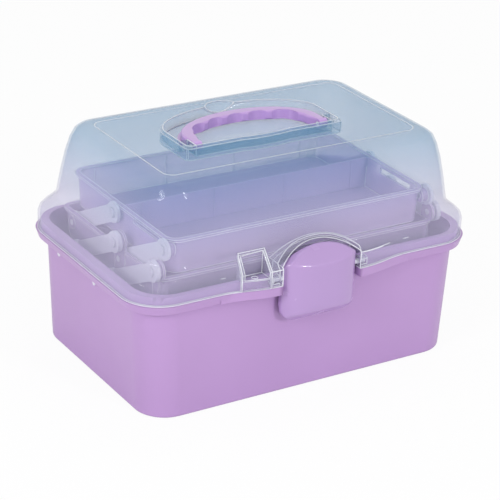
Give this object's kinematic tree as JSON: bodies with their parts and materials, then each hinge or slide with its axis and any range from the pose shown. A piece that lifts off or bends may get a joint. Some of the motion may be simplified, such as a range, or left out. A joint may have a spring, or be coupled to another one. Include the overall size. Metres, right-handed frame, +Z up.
{
  "type": "makeup storage case with handle",
  "caption": "Rectangular storage case with a clear domed lid, sunk fold-flat handle, front rocker latch and stacked clear trays on swinging links.",
  "frame": {"origin": "centre of the flat base that the case stands on", "axes": "+Z up, +Y towards the rear hinge, +X to the right seen from the front"},
  "size_m": [0.3326, 0.2334, 0.1994],
  "materials": {
    "tub_plastic": "soft gloss",
    "trim_plastic": "gloss",
    "lid_clear": "clear, faint blue tint",
    "tray_clear": "clear, slightly milky",
    "link_frosted": "frosted translucent",
    "hinge_pin": "plain drawn pin"
  },
  "bodies": {
    "tub": {"tub": "tub_plastic", "collar_eye_plate": "tub_plastic", "hinge_pin_left": "hinge_pin", "hinge_pin_right": "hinge_pin", "tub_pin_left_front": "link_frosted", "tub_pin_left_rear": "link_frosted", "tub_pin_right_front": "link_frosted", "tub_pin_right_rear": "link_frosted"},
    "lid": {"lid": "lid_clear", "lid_eye_plate": "lid_clear"},
    "handle": {"handle": "trim_plastic", "handle_pin_left": "trim_plastic", "handle_pin_right": "trim_plastic"},
    "latch": {"latch": "trim_plastic", "latch_pin_left": "trim_plastic", "latch_pin_right": "trim_plastic"},
    "lower_tray": {"lower_tray": "tray_clear", "lower_tray_outer_pin_left_front": "link_frosted", "lower_tray_outer_pin_left_rear": "link_frosted", "lower_tray_outer_pin_right_front": "link_frosted", "lower_tray_outer_pin_right_rear": "link_frosted", "lower_tray_inner_pin_left_front": "link_frosted", "lower_tray_inner_pin_left_rear": "link_frosted", "lower_tray_inner_pin_right_front": "link_frosted", "lower_tray_inner_pin_right_rear": "link_frosted"},
    "upper_tray": {"upper_tray": "tray_clear", "upper_tray_pin_left_front": "link_frosted", "upper_tray_pin_left_rear": "link_frosted", "upper_tray_pin_right_front": "link_frosted", "upper_tray_pin_right_rear": "link_frosted"},
    "lower_link_left_front": {"lower_link_left_front": "link_frosted"},
    "lower_link_left_rear": {"lower_link_left_rear": "link_frosted"},
    "lower_link_right_front": {"lower_link_right_front": "link_frosted"},
    "lower_link_right_rear": {"lower_link_right_rear": "link_frosted"},
    "upper_link_left_front": {"upper_link_left_front": "link_frosted"},
    "upper_link_left_rear": {"upper_link_left_rear": "link_frosted"},
    "upper_link_right_front": {"upper_link_right_front": "link_frosted"},
    "upper_link_right_rear": {"upper_link_right_rear": "link_frosted"}
  },
  "joints": [
    {"name": "lid_hinge", "type": "hinge", "parent": "tub", "child": "lid", "pos_m": [0, 0.11, 0.104], "axis": [-1, 0, 0], "range_deg": [0, 110]},
    {"name": "handle_pivot", "type": "hinge", "parent": "lid", "child": "handle", "pos_m": [0, -0.008, 0.1947], "axis": [1, 0, 0], "range_deg": [0, 90]},
    {"name": "latch_pivot", "type": "hinge", "parent": "lid", "child": "latch", "pos_m": [0, -0.106, 0.11], "axis": [-1, 0, 0], "range_deg": [0, 15]},
    {"name": "lower_swing_left_front", "type": "hinge", "parent": "tub", "child": "lower_link_left_front", "pos_m": [-0.138, -0.008, 0.09], "axis": [-1, 0, 0], "range_deg": [0, 50]},
    {"name": "lower_swing_left_rear", "type": "hinge", "parent": "tub", "child": "lower_link_left_rear", "pos_m": [-0.138, 0.056, 0.09], "axis": [-1, 0, 0], "range_deg": [0, 50]},
    {"name": "lower_swing_right_front", "type": "hinge", "parent": "tub", "child": "lower_link_right_front", "pos_m": [0.138, -0.008, 0.09], "axis": [-1, 0, 0], "range_deg": [0, 50]},
    {"name": "lower_swing_right_rear", "type": "hinge", "parent": "tub", "child": "lower_link_right_rear", "pos_m": [0.138, 0.056, 0.09], "axis": [-1, 0, 0], "range_deg": [0, 50]},
    {"name": "lower_tray_level", "type": "hinge", "parent": "lower_link_left_rear", "child": "lower_tray", "pos_m": [-0.138, -0.011, 0.1245], "axis": [-1, 0, 0], "range_deg": [-50, 0]},
    {"name": "upper_swing_left_front", "type": "hinge", "parent": "lower_tray", "child": "upper_link_left_front", "pos_m": [-0.1289, -0.008, 0.107], "axis": [-1, 0, 0], "range_deg": [0, 50]},
    {"name": "upper_swing_left_rear", "type": "hinge", "parent": "lower_tray", "child": "upper_link_left_rear", "pos_m": [-0.1289, 0.076, 0.107], "axis": [-1, 0, 0], "range_deg": [0, 50]},
    {"name": "upper_swing_right_front", "type": "hinge", "parent": "lower_tray", "child": "upper_link_right_front", "pos_m": [0.1289, -0.008, 0.107], "axis": [-1, 0, 0], "range_deg": [0, 50]},
    {"name": "upper_swing_right_rear", "type": "hinge", "parent": "lower_tray", "child": "upper_link_right_rear", "pos_m": [0.1289, 0.076, 0.107], "axis": [-1, 0, 0], "range_deg": [0, 50]},
    {"name": "upper_tray_level", "type": "hinge", "parent": "upper_link_left_rear", "child": "upper_tray", "pos_m": [-0.1289, 0.009, 0.1415], "axis": [-1, 0, 0], "range_deg": [-50, 0]}
  ],
  "couplings": [
    {"joint": "lower_swing_left_front", "follows": "lid_hinge", "ratio": 0.45454},
    {"joint": "lower_swing_left_rear", "follows": "lid_hinge", "ratio": 0.45454},
    {"joint": "lower_swing_right_front", "follows": "lid_hinge", "ratio": 0.45454},
    {"joint": "lower_swing_right_rear", "follows": "lid_hinge", "ratio": 0.45454},
    {"joint": "lower_tray_level", "follows": "lid_hinge", "ratio": -0.45454},
    {"joint": "upper_swing_left_front", "follows": "lid_hinge", "ratio": 0.45454},
    {"joint": "upper_swing_left_rear", "follows": "lid_hinge", "ratio": 0.45454},
    {"joint": "upper_swing_right_front", "follows": "lid_hinge", "ratio": 0.45454},
    {"joint": "upper_swing_right_rear", "follows": "lid_hinge", "ratio": 0.45454},
    {"joint": "upper_tray_level", "follows": "lid_hinge", "ratio": -0.45454}
  ]
}
